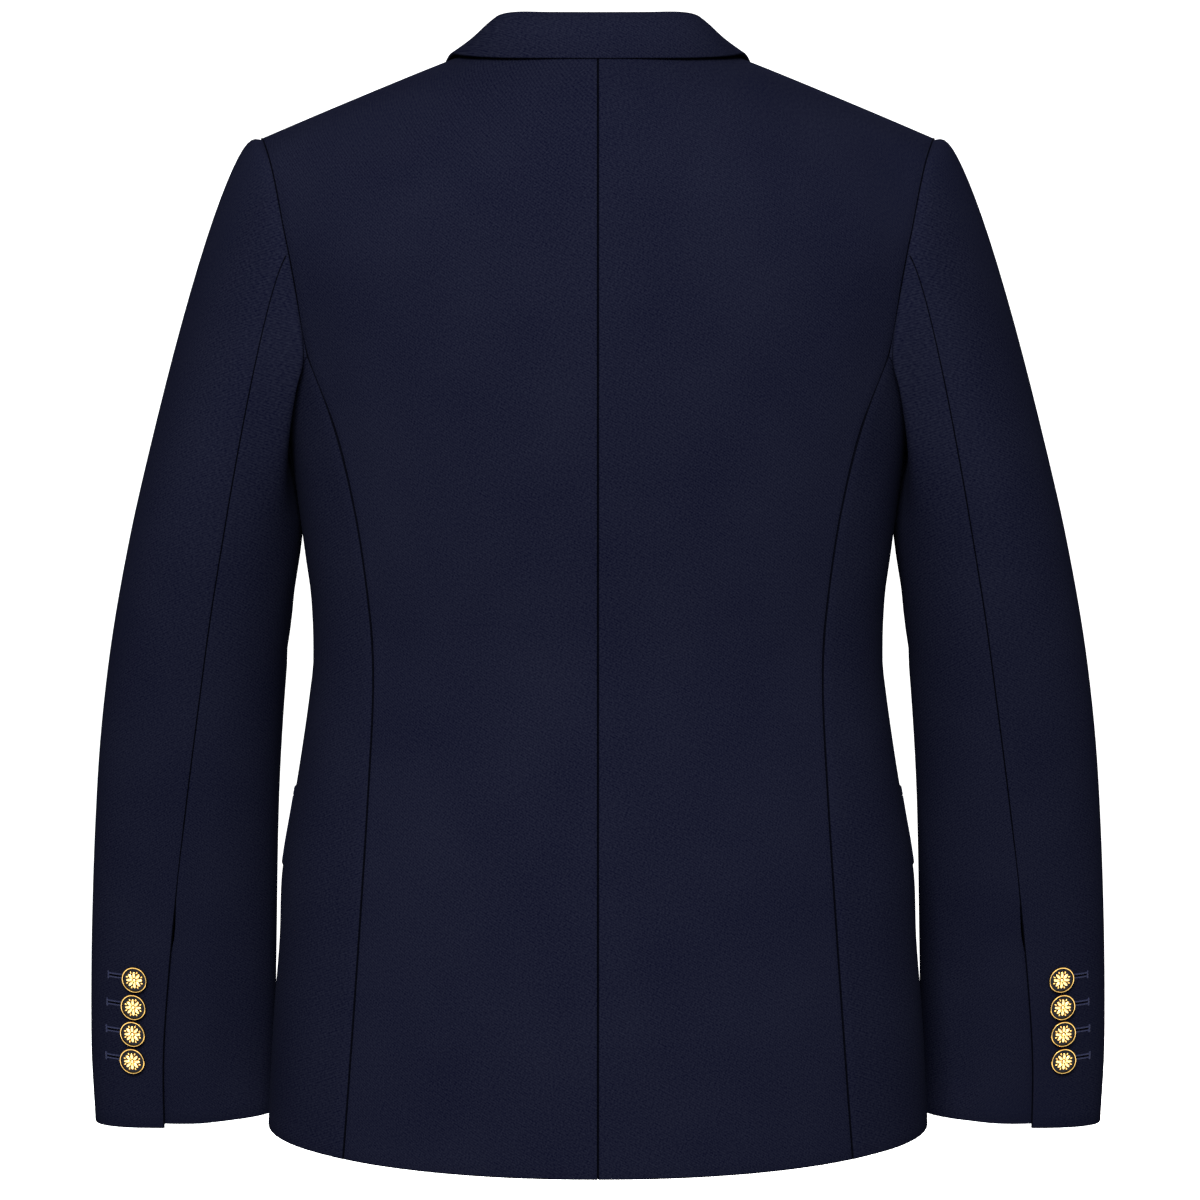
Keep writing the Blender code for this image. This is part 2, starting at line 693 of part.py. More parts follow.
def sleeve_surface(angle, drop):
    """The sleeve below the biceps, at an angle in degrees from straight back towards the outside."""
    turned = math.radians(angle + read(SLEEVE, "turned", drop))
    x = read(SLEEVE, "centre_x", drop) + read(SLEEVE, "half_x", drop) * math.sin(turned)
    y = read(SLEEVE, "centre_y", drop) + read(SLEEVE, "half_y", drop) * math.cos(turned)
    top = SLEEVE_ROWS[0][0]
    tilt = CUFF_TILT * math.sin(turned) * (drop - top) / (SLEEVE_DROPS[-1] - top)
    return np.array((x, y, -drop - tilt))


def armhole_points():
    """The armhole from the hind-arm seam down the back, under the arm, up the front and over."""
    back = [back_surface(x, run_to(x, drop, BACK_TURN)) for x, drop in back_armhole()]
    front = [front_surface(x, run_to(x, drop, FRONT_TURN)) for x, drop in front_armhole()]
    start = side_angle(*back_armhole()[-1], "back")
    end = side_angle(*front_armhole()[0], "front")
    bands = len(UNDER_ARM_ROWS) - 1
    under = []
    for i in range(1, bands):
        under.append(side_surface(start + (end - start) * i / bands, read(UNDER_ARM, "drop", i / bands)))
    return back[HIND_SEAM_AT:] + under + front + back[1:HIND_SEAM_AT]


def sleeve_angles(count):
    """Angle of each armhole point on the biceps: hind seam, under the arm, fore seam, shoulder."""
    under = len(BACK_ARM_DROPS) - HIND_SEAM_AT + len(UNDER_ARM_ROWS) - 1 + FORE_SEAM_AT
    front = len(FRONT_ARM_DROPS) - FORE_SEAM_AT
    angles = [a[0] for a in even((HIND_ANGLE,), (FORE_ANGLE,), under)]
    angles += [a[0] for a in even((FORE_ANGLE,), (SHOULDER_ANGLE,), front)[1:]]
    angles += [a[0] for a in even((SHOULDER_ANGLE,), (HIND_ANGLE - 360,), count - under - front)[1:-1]]
    return angles, under


def cap_start(angle):
    """How the cloth leaves the armhole at this place."""
    sine = math.sin(math.radians(angle))
    cosine = math.cos(math.radians(angle))
    fore_and_aft = CAP_START_BACK if cosine > 0 else CAP_START_FRONT
    up_and_down = CAP_START_TOP if sine > 0 else CAP_START_UNDER
    return np.array(fore_and_aft) * cosine**2 + np.array(up_and_down) * sine**2


def sleeve_grid():
    """Points of the whole sleeve, a row for each level and a column for each armhole point."""
    armhole = armhole_points()
    angles, under = sleeve_angles(len(armhole))
    top = SLEEVE_DROPS[0]
    columns = []
    for point, angle in zip(armhole, angles):
        leave = cap_start(angle)
        start = point + leave / np.linalg.norm(leave) * ARMHOLE_GAP
        end = sleeve_surface(angle, top)
        axis = sleeve_surface(angle, top + CAP_STEP) - end
        crown = max(0.0, math.sin(math.radians(angle))) ** 2
        reach = (CAP_REACH + (CAP_REACH_TOP - CAP_REACH) * crown) * np.linalg.norm(end - start)
        arrive = end - axis / np.linalg.norm(axis) * reach
        line = []
        for t in CAP_SHARES:
            near = (1 - t) ** 3 * start + 3 * t * (1 - t) ** 2 * (start + leave)
            line.append(near + 3 * t * t * (1 - t) * arrive + t**3 * end)
        line += [sleeve_surface(angle, drop) for drop in SLEEVE_DROPS]
        columns.append(line)
    return np.array(columns).transpose(1, 0, 2), under


def sleeve_normals(grid):
    """Outward normals, taken around the ring and along the sleeve."""
    around = np.roll(grid, -1, axis=1) - np.roll(grid, 1, axis=1)
    along = np.gradient(grid, axis=0)
    normals = np.cross(around, along)
    normals /= np.linalg.norm(normals, axis=2, keepdims=True)
    middle = grid.mean(axis=1, keepdims=True)
    facing = ((grid - middle) * normals).sum(axis=2).mean()
    return normals if facing > 0 else -normals


def make_sleeve(side, finish):
    grid, under = sleeve_grid()
    normals = sleeve_normals(grid)
    around = np.roll(grid, -1, axis=1) - np.roll(grid, 1, axis=1)
    around /= np.linalg.norm(around, axis=2, keepdims=True)
    count = grid.shape[1]
    vent_row = len(CAP_SHARES) + SLEEVE_DROPS.index(VENT_TOP)
    pieces = {
        "sleeve_under_": list(range(0, under + 1)),
        "sleeve_top_": list(range(under, count)) + [0],
    }
    for name, picked in pieces.items():
        outer = grid[:, picked].copy()
        wall_way = normals[:, picked]
        outer[:, 0] += around[:, picked[0]] * HALF_SEAM
        outer[:, -1] -= around[:, picked[-1]] * HALF_SEAM
        inner = outer - wall_way * SLEEVE_CLOTH
        if name == "sleeve_under_":
            depths = np.linspace(*UNDERLAP_DEPTHS, len(grid) - vent_row)[:, None]
            slide = around[vent_row:, 0] * UNDERLAP
            slide[0] *= 0
            for layer in (outer, inner):
                layer[vent_row:, 0] -= wall_way[vent_row:, 0] * depths + slide
        else:
            shares = np.linspace(0, 1, outer.shape[1])
            for layer in (outer, inner):
                layer[-1, :, 2] -= VENT_HANG * shares**3
        wall(name + side, outer, inner, finish, side)


# ---------------------------------------------------------------- pockets and buttons


def pocket_strip(name, side, top, deep, rows, finish):
    """A strip that lies on the front and the side body. A flap, with several rows, has rounded corners."""
    outer = np.zeros((rows + 1, FLAP_BANDS + 1, 3))
    inner = np.zeros_like(outer)
    wide = FLAP_FRONT_ANGLE - FLAP_BACK_ANGLE
    for c in range(FLAP_BANDS + 1):
        share = c / FLAP_BANDS
        angle = FLAP_BACK_ANGLE + wide * (share + FLAP_CROWDING * math.sin(4 * math.pi * share))
        from_end = min(share, 1 - share) * wide * MM_PER_DEGREE
        corner = max(0.0, 1 - from_end / FLAP_CORNER) ** 2 if rows > 1 else 0.0
        for r in range(rows + 1):
            drop = top + (deep - FLAP_CORNER * corner / 2) * r / rows
            point = side_surface(angle, drop)
            normal = outward(side_surface, angle, drop)
            lift = lap_lift(point[0], drop, side) + FLAP_CLEAR
            outer[r, c] = point + normal * (lift + TRIM_CLOTH)
            inner[r, c] = point + normal * lift
    wall(name + side, outer, inner, finish, side)


def make_button(name, place, normal, radius, finish):
    """A turned shank button whose back faces the cloth."""
    normal = normal / np.linalg.norm(normal)
    level = np.cross(normal, (0, 0, 1.0))
    level /= np.linalg.norm(level)
    upward = np.cross(level, normal)
    scale = radius / CUFF_BUTTON_RADIUS
    points = []
    for share, height in zip(*(BUTTON[column] for column in BUTTON_COLUMNS)):
        rise = height * scale if height >= SHANK_TOP else height
        for i in range(BUTTON_SIDES):
            turn = 2 * math.pi * i / BUTTON_SIDES
            spoke = level * math.cos(turn) + upward * math.sin(turn)
            points.append(place + spoke * radius * share + normal * rise)
    faces = []
    for ring in range(len(BUTTON_ROWS) - 1):
        for i in range(BUTTON_SIDES):
            a = ring * BUTTON_SIDES + i
            b = ring * BUTTON_SIDES + (i + 1) % BUTTON_SIDES
            faces.append((a, b, b + BUTTON_SIDES, a + BUTTON_SIDES))
    faces.append(list(range(BUTTON_SIDES)))
    last = (len(BUTTON_ROWS) - 1) * BUTTON_SIDES
    crown = len(points)
    points.append(place + normal * BUTTON_CROWN * scale)
    faces += [(last + i, last + (i + 1) % BUTTON_SIDES, crown) for i in range(BUTTON_SIDES)]
    solid(name, points, faces, finish)


def make_cuff_buttons(side, finish):
    mirror = np.array((1, 1, 1) if side == "left" else (-1, 1, 1))
    for number, (drop, seen_at) in enumerate(CUFF_BUTTON_ROWS, start=1):
        angle = seen_at - read(SLEEVE, "turned", drop)
        place = sleeve_surface(angle, drop)
        across = sleeve_surface(angle + 1, drop) - sleeve_surface(angle - 1, drop)
        along = sleeve_surface(angle, drop + STEP) - sleeve_surface(angle, drop - STEP)
        normal = np.cross(along, across)
        centre = np.array((read(SLEEVE, "centre_x", drop), read(SLEEVE, "centre_y", drop), -drop))
        normal /= np.linalg.norm(normal)
        if normal @ (place - centre) < 0:
            normal = -normal
        normal[1] += CUFF_BUTTON_LEAN
        name = f"cuff_button_{side}_{number}"
        make_button(name, place * mirror, normal * mirror, CUFF_BUTTON_RADIUS, finish)


def make_front_buttons(finish):
    """Three rows of two. The upper one on the wearer's right sits on the right front."""
    for row, x, drop in FRONT_BUTTON_ROWS:
        for column, own_x in (("left", x), ("right", -x)):
            side = "right" if row == "top" and column == "right" else "left"
            mirror = np.array((1, 1, 1) if side == "left" else (-1, 1, 1))
            here = abs(own_x) if side == "right" else own_x
            run = run_to(here, drop, FRONT_TURN)
            normal = outward(front_surface, here, run)
            place = on_front(here, drop, side, 0)
            name = f"front_button_{row}_{column}"
            make_button(name, place * mirror, normal * mirror, FRONT_BUTTON_RADIUS, finish)


# ---------------------------------------------------------------- the jacket

clear_scene()
wool = material("navy_wool", "#1B1D2D", 0.85)
gilt = material("gilt_metal", "#D9A93A", 0.3, 1.0)
for wearer_side in ("left", "right"):
    make_back(wearer_side, wool)
    make_side(wearer_side, wool)
    make_front(wearer_side, wool)
    make_lapel(wearer_side, wool)
    make_sleeve(wearer_side, wool)
    pocket_strip("pocket_welt_", wearer_side, FLAP_TOP - WELT_DEEP - WELT_GAP, WELT_DEEP, 1, wool)
    pocket_strip("pocket_flap_", wearer_side, FLAP_TOP, FLAP_DEEP, FLAP_ROWS, wool)
    make_cuff_buttons(wearer_side, gilt)
make_fall(wool)
make_stand(wool)
make_front_buttons(gilt)
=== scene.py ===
"""The double-breasted jacket as it looks: navy worsted, gilt and enamel shank buttons, worked buttonholes.

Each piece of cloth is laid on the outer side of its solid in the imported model, so the jacket keeps its cut.
Lengths are in metres. The wearer's left is +X and the back faces +Y, towards the camera.
"""

import math

import bmesh
import bpy
import numpy as np
from mathutils import Matrix, Vector
from mathutils.bvhtree import BVHTree


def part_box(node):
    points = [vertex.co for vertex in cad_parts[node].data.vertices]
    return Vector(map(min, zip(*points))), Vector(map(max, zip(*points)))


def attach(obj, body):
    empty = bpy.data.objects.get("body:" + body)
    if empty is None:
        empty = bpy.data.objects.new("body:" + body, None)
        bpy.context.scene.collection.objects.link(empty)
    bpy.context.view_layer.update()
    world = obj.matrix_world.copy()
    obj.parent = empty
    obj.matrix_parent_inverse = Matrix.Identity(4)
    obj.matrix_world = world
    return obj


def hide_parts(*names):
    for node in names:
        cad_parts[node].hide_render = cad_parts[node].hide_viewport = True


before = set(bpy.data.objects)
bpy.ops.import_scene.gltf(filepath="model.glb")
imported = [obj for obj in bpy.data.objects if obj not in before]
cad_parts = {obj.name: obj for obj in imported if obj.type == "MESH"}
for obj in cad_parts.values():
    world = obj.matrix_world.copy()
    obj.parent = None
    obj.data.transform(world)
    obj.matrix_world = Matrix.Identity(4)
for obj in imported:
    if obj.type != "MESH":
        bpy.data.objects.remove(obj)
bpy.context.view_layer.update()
bpy.ops.object.select_all(action="DESELECT")

MM = 0.001


# ---------------------------------------------------------------- the cloth
# Navy worsted: a fine, hard-twisted wool twill of about 260 grams, finished clear, so it is matt with a
# faint bloom where the light grazes it. Body pieces carry canvas and lining and stand firm.

WOOL_NAVY = "#1A1C29"
WOOL_SHADE = "#050617"
SEAM_SHADOW_NAVY = "#07080F"  # the same cloth darkened in a seam and on a cut edge: painted shade of the groove and the edge
SEAM_SHADOW_DEEP = "#030307"
BLOOM = "#8C93B8"
TWILL_MM = 1.5  # the real twill line is 0.6 mm, too fine to show, so it is drawn this coarse
YARN_MM = 1.3  # length of the short fibre flecks, also coarser than the real ones
CLOUD_MM = 60.0  # slow changes of shade across a panel
WAVE_REPEAT = math.pi / 10  # a wave texture of this scale repeats once in a metre
WEAVE_SPREAD = 0.25  # the pattern's middle values, this far to each side, fill the whole range of colour
FLECK_SHARE = 0.86  # of the weave, where the rest is the twill line
CLOUD_SHARE = 0.15  # of the whole pattern, where the rest is the weave
TWILL_TURN = 63  # degrees, the steep line of a worsted twill


def linear(code):
    """An sRGB hex colour as linear red, green, blue and alpha."""
    parts = [int(code[i : i + 2], 16) / 255 for i in (1, 3, 5)]
    return [p / 12.92 if p <= 0.04045 else ((p + 0.055) / 1.055) ** 2.4 for p in parts] + [1.0]


def add_node(tree, kind, settings, links):
    """A node with its settings. An input is given a value, or the socket that feeds it."""
    node = tree.nodes.new(kind)
    for name, value in settings.items():
        setattr(node, name, value)
    for name, value in links.items():
        if isinstance(value, bpy.types.NodeSocket):
            tree.links.new(value, node.inputs[name])
        else:
            node.inputs[name].default_value = value
    return node


def worsted(name, light, dark):
    """Wool twill. The twill line climbs at a steep angle, and the pattern follows the grain UV map."""
    made = bpy.data.materials.new(name)
    made.use_nodes = True
    tree = made.node_tree
    shader = tree.nodes["Principled BSDF"]
    grain = add_node(tree, "ShaderNodeUVMap", {"uv_map": "grain"}, {})
    turned = add_node(
        tree,
        "ShaderNodeMapping",
        {},
        {"Vector": grain.outputs["UV"], "Rotation": (0, 0, math.radians(TWILL_TURN))},
    )
    twill = add_node(
        tree,
        "ShaderNodeTexWave",
        {"wave_type": "BANDS", "bands_direction": "X"},
        {
            "Vector": turned.outputs["Vector"],
            "Scale": WAVE_REPEAT / (TWILL_MM * MM),
            "Distortion": 0.6,
            "Detail": 2.0,
            "Detail Scale": 1.5,
        },
    )
    flecks = add_node(
        tree,
        "ShaderNodeTexNoise",
        {},
        {"Vector": turned.outputs["Vector"], "Scale": 1 / (YARN_MM * MM), "Detail": 1.0, "Roughness": 0.6},
    )
    place = add_node(tree, "ShaderNodeTexCoord", {}, {})
    clouds = add_node(
        tree,
        "ShaderNodeTexNoise",
        {},
        {"Vector": place.outputs["Object"], "Scale": 1 / (CLOUD_MM * MM), "Detail": 2.0},
    )
    weave = add_node(
        tree,
        "ShaderNodeMix",
        {"data_type": "FLOAT"},
        {"Factor": FLECK_SHARE, "A": twill.outputs["Fac"], "B": flecks.outputs["Fac"]},
    )
    shade = add_node(
        tree,
        "ShaderNodeMix",
        {"data_type": "FLOAT"},
        {"Factor": CLOUD_SHARE, "A": weave.outputs["Result"], "B": clouds.outputs["Fac"]},
    )
    spread = add_node(
        tree,
        "ShaderNodeMapRange",
        {},
        {
            "Value": shade.outputs["Result"],
            "From Min": 0.5 - WEAVE_SPREAD,
            "From Max": 0.5 + WEAVE_SPREAD,
        },
    )
    colour = add_node(
        tree,
        "ShaderNodeMix",
        {"data_type": "RGBA"},
        {"Factor": spread.outputs["Result"], "A": linear(dark), "B": linear(light)},
    )
    relief = add_node(
        tree,
        "ShaderNodeBump",
        {},
        {"Strength": 0.5, "Distance": 0.16 * MM, "Height": weave.outputs["Result"]},
    )
    tree.links.new(colour.outputs["Result"], shader.inputs["Base Color"])
    tree.links.new(relief.outputs["Normal"], shader.inputs["Normal"])
    shader.inputs["Roughness"].default_value = 0.88
    shader.inputs["IOR"].default_value = 1.45
    shader.inputs["Specular IOR Level"].default_value = 0.0
    shader.inputs["Sheen Weight"].default_value = 0.006
    shader.inputs["Sheen Roughness"].default_value = 0.5
    shader.inputs["Sheen Tint"].default_value = linear(BLOOM)
    return made


navy_worsted = worsted("navy_worsted_twill", WOOL_NAVY, WOOL_SHADE)
# The seam cloth is painted shade: darker navy for the shadow in a seam's groove and along a cut edge.
seam_shadow_worsted = worsted("navy_worsted_painted_seam_shadow", SEAM_SHADOW_NAVY, SEAM_SHADOW_DEEP)

# Each piece as cut, in metres, in these columns: node, width, length, area, wall in millimetres, levels and
# grain. The area is what shows of it, levels is how often its grid is halved, and grain says which way the
# weave lies.
BODY_CUTS = (
    ("back", 0.245, 0.745, 0.1313, 2.0, 2, "back"),
    ("side", 0.215, 0.530, 0.0916, 2.0, 2, "side"),
    ("front", 0.360, 0.790, 0.1692, 2.0, 2, "front"),
)
EDGE_ROUND = 0.6 * MM  # a pressed edge is this round, and two of them make the groove of a seam
SEAM_REACH = 0.26 * MM  # the cloth's inside reaches this much further, so that no light passes a seam
ARMHOLE_REACH = 2.0 * MM  # and the sleeve's inside reaches this far under the body at the armhole
ARMHOLE_LOW = -0.25  # height of the armhole's lowest point
ARMHOLE_NEAR = 3.0 * MM  # an edge this close to the body is the one that is sewn into the armhole
SMOOTH_ROUNDS = 5
MERGE = 0.01 * MM
EDGE_ANGLE = math.radians(60)  # a solid turns by more than this only at the edges of the cloth
CORNER_ANGLE = math.radians(150)
TORSO_GRAIN_RADIUS = 0.17
TORSO_MIDDLE_Y = -0.005
SLEEVE_GRAIN_RADIUS = 0.058


def outer_side(node, name):
    """The outer side of a CAD solid as an open sheet of quads. It is the larger of its two sides."""
    shape = bmesh.new()
    shape.from_mesh(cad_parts[node].data)
    bmesh.ops.remove_doubles(shape, verts=shape.verts, dist=MERGE)
    shape.faces.index_update()
    shape.normal_update()
    seen = set()
    sides = []
    for first in shape.faces:
        if first in seen:
            continue
        seen.add(first)
        waiting = [first]
        side = []
        while waiting:
            face = waiting.pop()
            side.append(face)
            for edge in face.edges:
                for other in edge.link_faces:
                    if other not in seen and face.normal.angle(other.normal, 0) < EDGE_ANGLE:
                        seen.add(other)
                        waiting.append(other)
        sides.append(side)
    outer = set(max(sides, key=lambda side: sum(face.calc_area() for face in side)))
    bmesh.ops.delete(shape, geom=[f for f in shape.faces if f not in outer], context="FACES")
    bmesh.ops.join_triangles(
        shape,
        faces=shape.faces,
        angle_face_threshold=math.pi,
        angle_shape_threshold=math.pi,
        topology_influence=1.5,
    )
    keep_corners(shape)
    mesh = bpy.data.meshes.new(name)
    shape.to_mesh(mesh)
    shape.free()
    piece = bpy.data.objects.new(name, mesh)
    bpy.context.scene.collection.objects.link(piece)
    return piece


def keep_corners(shape):
    """Creases each point where the sheet's edge turns sharply, so that neighbours still meet there."""
    sharp = shape.verts.layers.float.new("crease_vert")
    for vertex in shape.verts:
        ends = [edge.other_vert(vertex).co - vertex.co for edge in vertex.link_edges if edge.is_boundary]
        if len(ends) == 2 and ends[0].angle(ends[1]) < CORNER_ANGLE:
            vertex[sharp] = 1.0


def rim_moves(piece):
    """For each point on the sheet's edge, the way out of the sheet in its own surface."""
    shape = bmesh.new()
    shape.from_mesh(piece.data)
    shape.normal_update()
    moves = {}
    for vertex in shape.verts:
        ways = []
        for edge in vertex.link_edges:
            if edge.is_boundary:
                face = edge.link_faces[0]
                middle = (edge.verts[0].co + edge.verts[1].co) / 2
                way = (edge.verts[1].co - edge.verts[0].co).cross(face.normal).normalized()
                ways.append(way if way.dot(middle - face.calc_center_median()) > 0 else -way)
        if len(ways) == 2:
            moves[vertex.index] = (ways[0] + ways[1]) / max(0.5, 1 + ways[0].dot(ways[1]))
    shape.free()
    return moves


def smooth_through(piece, levels):
    """Halves the sheet's grid with a smooth surface that still passes through the solid's own points."""
    wanted = [vertex.co.copy() for vertex in piece.data.vertices]
    smooth = piece.modifiers.new("smooth", "SUBSURF")
    smooth.levels = smooth.render_levels = levels
    smooth.boundary_smooth = "PRESERVE_CORNERS"
    for _ in range(SMOOTH_ROUNDS):
        reached = piece.evaluated_get(bpy.context.evaluated_depsgraph_get()).data.vertices
        misses = [point - reached[i].co for i, point in enumerate(wanted)]
        for vertex, miss in zip(piece.data.vertices, misses):
            vertex.co += miss
        piece.data.update()
    apply_all(piece)


def apply_all(piece):
    """Applies the piece's modifiers in order."""
    bpy.ops.object.select_all(action="DESELECT")
    piece.select_set(True)
    bpy.context.view_layer.objects.active = piece
    for modifier in list(piece.modifiers):
        bpy.ops.object.modifier_apply(modifier=modifier.name)
    piece.select_set(False)


def lay_grain(piece, grain, outward):
    """A UV map in metres: across the piece, round the body or sleeve, and down along it."""
    low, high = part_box(piece.name.removesuffix("_cloth"))
    middle = (low + high) / 2
    layer = piece.data.uv_layers.new(name="grain")
    for loop in piece.data.loops:
        point = piece.data.vertices[loop.vertex_index].co
        if grain == "back":
            across = point.x - outward * point.y
        elif grain == "front":
            across = point.x + outward * point.y
        elif grain == "side":
            across = math.atan2(point.y - TORSO_MIDDLE_Y, outward * point.x) * TORSO_GRAIN_RADIUS
        elif grain == "top_sleeve":
            centre = sleeve_middle(point.z)
            away = outward * point.x - centre.x
            across = math.atan2(point.y - centre.y, away) * SLEEVE_GRAIN_RADIUS
        elif grain == "under_sleeve":
            centre = sleeve_middle(point.z)
            away = centre.x - outward * point.x
            across = math.atan2(point.y - centre.y, away) * SLEEVE_GRAIN_RADIUS
        else:
            across = point.x - middle.x + 0.5 * (point.y - middle.y)
        layer.data[loop.index].uv = (across, point.z)


def sleeve_middle(height):
    """Middle of the left sleeve at a height, on a line that bends at the elbow."""
    upper = Vector((0.232, -0.008, -0.10))
    elbow = Vector((0.268, -0.036, -0.41))
    cuff = Vector((0.284, -0.079, -0.724))
    start, end = (upper, elbow) if height > elbow.z else (elbow, cuff)
    return start.lerp(end, (height - start.z) / (end.z - start.z))


FOLD_RUN_ON = 0.2  # each fold runs on past its ends by this share of its length, and fades out there
# Soft folds, in these columns: where each starts and ends on the wearer's left, its width and its depth in
# millimetres. One with a negative depth stands proud.
BODY_FOLDS = {
    "back": (
        ((0.165, 0.07, -0.36), (0.10, 0.10, -0.41), 16, 0.5),
        ((0.175, 0.06, -0.225), (0.13, 0.09, -0.30), 14, 0.5),
    ),
    "side": (
        ((0.19, -0.05, -0.33), (0.18, 0.05, -0.37), 13, 0.6),
        ((0.19, -0.05, -0.39), (0.185, 0.05, -0.42), 11, 0.5),
    ),
    "front": (
        ((0.04, -0.125, -0.405), (0.15, -0.09, -0.36), 12, 0.6),
        ((0.05, -0.125, -0.43), (0.16, -0.09, -0.43), 12, -0.4),
        ((0.155, -0.10, -0.19), (0.15, -0.11, -0.30), 13, 0.6),
    ),
}


def press_folds(piece, folds, outward):
    """Moves the cloth in or out along each fold, by a soft curve across it."""
    mesh = piece.data
    normals = [vertex.normal.copy() for vertex in mesh.vertices]
    for start, end, width_mm, depth_mm in folds:
        a = Vector((start[0] * outward, start[1], start[2]))
        b = Vector((end[0] * outward, end[1], end[2]))
        line = b - a
        for vertex, normal in zip(mesh.vertices, normals):
            share = (vertex.co - a).dot(line) / line.length_squared
            if -FOLD_RUN_ON < share < 1 + FOLD_RUN_ON:
                away = (vertex.co - a - line * share).length
                fade = math.sin(math.pi * (share + FOLD_RUN_ON) / (1 + 2 * FOLD_RUN_ON)) ** 2
                vertex.co -= normal * depth_mm * MM * fade * math.exp(-((away / (width_mm * MM)) ** 2))


def body_trees(names):
    """The finished cloth pieces of the body, ready to be measured to."""
    depsgraph = bpy.context.evaluated_depsgraph_get()
    return [BVHTree.FromObject(bpy.data.objects[name], depsgraph) for name in names]


def near(tree, point, reach):
    """Whether a point lies within reach of a measured piece."""
    return tree.find_nearest(point, reach)[0] is not None


def make_cloth(node, outward, width, length, area, wall_mm, levels, grain, folds, rests_on, seamed=False):
    """One cut piece: its sheet smoothed, folded, given its thickness and round pressed edges."""
    piece = outer_side(node, node + "_cloth")
    piece.data.materials.append(navy_worsted)
    if seamed:
        piece.data.materials.append(seam_shadow_worsted)
    smooth_through(piece, levels)
    press_folds(piece, folds, outward)
    lay_grain(piece, grain, outward)
    moves = rim_moves(piece)
    count = len(piece.data.vertices)
    thick = piece.modifiers.new("thickness", "SOLIDIFY")
    thick.thickness = wall_mm * MM
    thick.offset = -1
    thick.use_even_offset = True
    # Seamed pieces take the seam cloth on their cut rims and pressed edges, as painted shade.
    thick.material_offset_rim = 1 if seamed else 0
    apply_all(piece)
    body = body_trees(rests_on) if "sleeve" in grain else []
    for index, move in moves.items():
        edge = piece.data.vertices[index].co
        set_in = edge.z > ARMHOLE_LOW and any(near(tree, edge, ARMHOLE_NEAR) for tree in body)
        piece.data.vertices[count + index].co += move * (ARMHOLE_REACH if set_in else SEAM_REACH)
    edges = piece.modifiers.new("pressed_edges", "BEVEL")
    edges.width = EDGE_ROUND
    edges.segments = 2
    edges.limit_method = "ANGLE"
    edges.angle_limit = EDGE_ANGLE
    edges.material = 1 if seamed else -1
    apply_all(piece)
    piece.data.shade_smooth()
    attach(piece, "root")
    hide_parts(node)


SIDES = (("left", 1), ("right", -1))

for kind, width, length, area, wall_mm, levels, grain in BODY_CUTS:
    for side, outward in SIDES:
        folds = BODY_FOLDS[kind]
        make_cloth(f"{kind}_{side}", outward, width, length, area, wall_mm, levels, grain, folds, [], True)


# ---------------------------------------------------------------- sleeves
# Two-piece sleeves, set in with a little fullness at the crown. The top sleeve closes over the under
# sleeve at the cuff, in a vent that the four buttons hold shut.

SLEEVE_CUTS = (
    ("sleeve_top", 0.260, 0.700, 0.1392, 1.8, 2, "top_sleeve"),
    ("sleeve_under", 0.150, 0.600, 0.0701, 1.8, 2, "under_sleeve"),
)
SLEEVE_FOLDS = {
    "sleeve_top": (
        ((0.225, -0.075, -0.355), (0.275, -0.09, -0.375), 8, 1.0),
        ((0.225, -0.08, -0.385), (0.285, -0.09, -0.395), 7, 1.1),
        ((0.225, -0.08, -0.415), (0.27, -0.09, -0.43), 8, 0.9),
        ((0.24, -0.085, -0.50), (0.29, -0.095, -0.485), 10, 0.6),
        ((0.235, -0.05, -0.13), (0.225, -0.065, -0.20), 9, 0.6),
    ),
    "sleeve_under": (
        ((0.20, -0.05, -0.34), (0.205, 0.0, -0.37), 8, 0.8),
        ((0.205, -0.06, -0.39), (0.215, -0.01, -0.40), 8, 0.9),
    ),
}

for kind, width, length, area, wall_mm, levels, grain in SLEEVE_CUTS:
    for side, outward in SIDES:
        folds = SLEEVE_FOLDS[kind]
        rests_on = [f"back_{side}_cloth", f"side_{side}_cloth", f"front_{side}_cloth"]
        cut = (outward, width, length, area, wall_mm, levels, grain)
        make_cloth(f"{kind}_{side}", *cut, folds, rests_on, True)


# ---------------------------------------------------------------- lapels and collar
# Peaked lapels, turned back at the roll line, and a collar whose fall is pressed down over the neck seam.
# The stand shows inside the neck.

for side, outward in SIDES:
    make_cloth(f"lapel_{side}", outward, 0.115, 0.390, 0.0310, 2.0, 3, "flat", (), [f"front_{side}_cloth"])
neck = ["back_left_cloth", "back_right_cloth"]
make_cloth("collar_fall", 1, 0.050, 0.420, 0.0150, 2.0, 3, "flat", (), neck)
make_cloth("collar_stand", 1, 0.030, 0.360, 0.0061, 1.8, 2, "flat", (), neck)


# ---------------------------------------------------------------- pocket flaps and welts
# Straight hip pockets. Each flap hangs from under a narrow welt and its lower corners are rounded.

for side, outward in SIDES:
    under = [f"front_{side}_cloth", f"side_{side}_cloth"]
    make_cloth(f"pocket_flap_{side}", outward, 0.160, 0.051, 0.0080, 1.3, 2, "flat", (), under)
    make_cloth(f"pocket_welt_{side}", outward, 0.156, 0.012, 0.00105, 1.3, 2, "flat", (), under)


# ---------------------------------------------------------------- buttons
# Stamped brass shank buttons, gilt, with a polished rim and a dark enamel dome under a raised rosette.
# One is modelled at the cuff's size, lying on its back, and copied to each place.

CUFF_BUTTON_MM = 9.0  # radius
FRONT_BUTTON_MM = 11.0
CUP_STEPS = 64
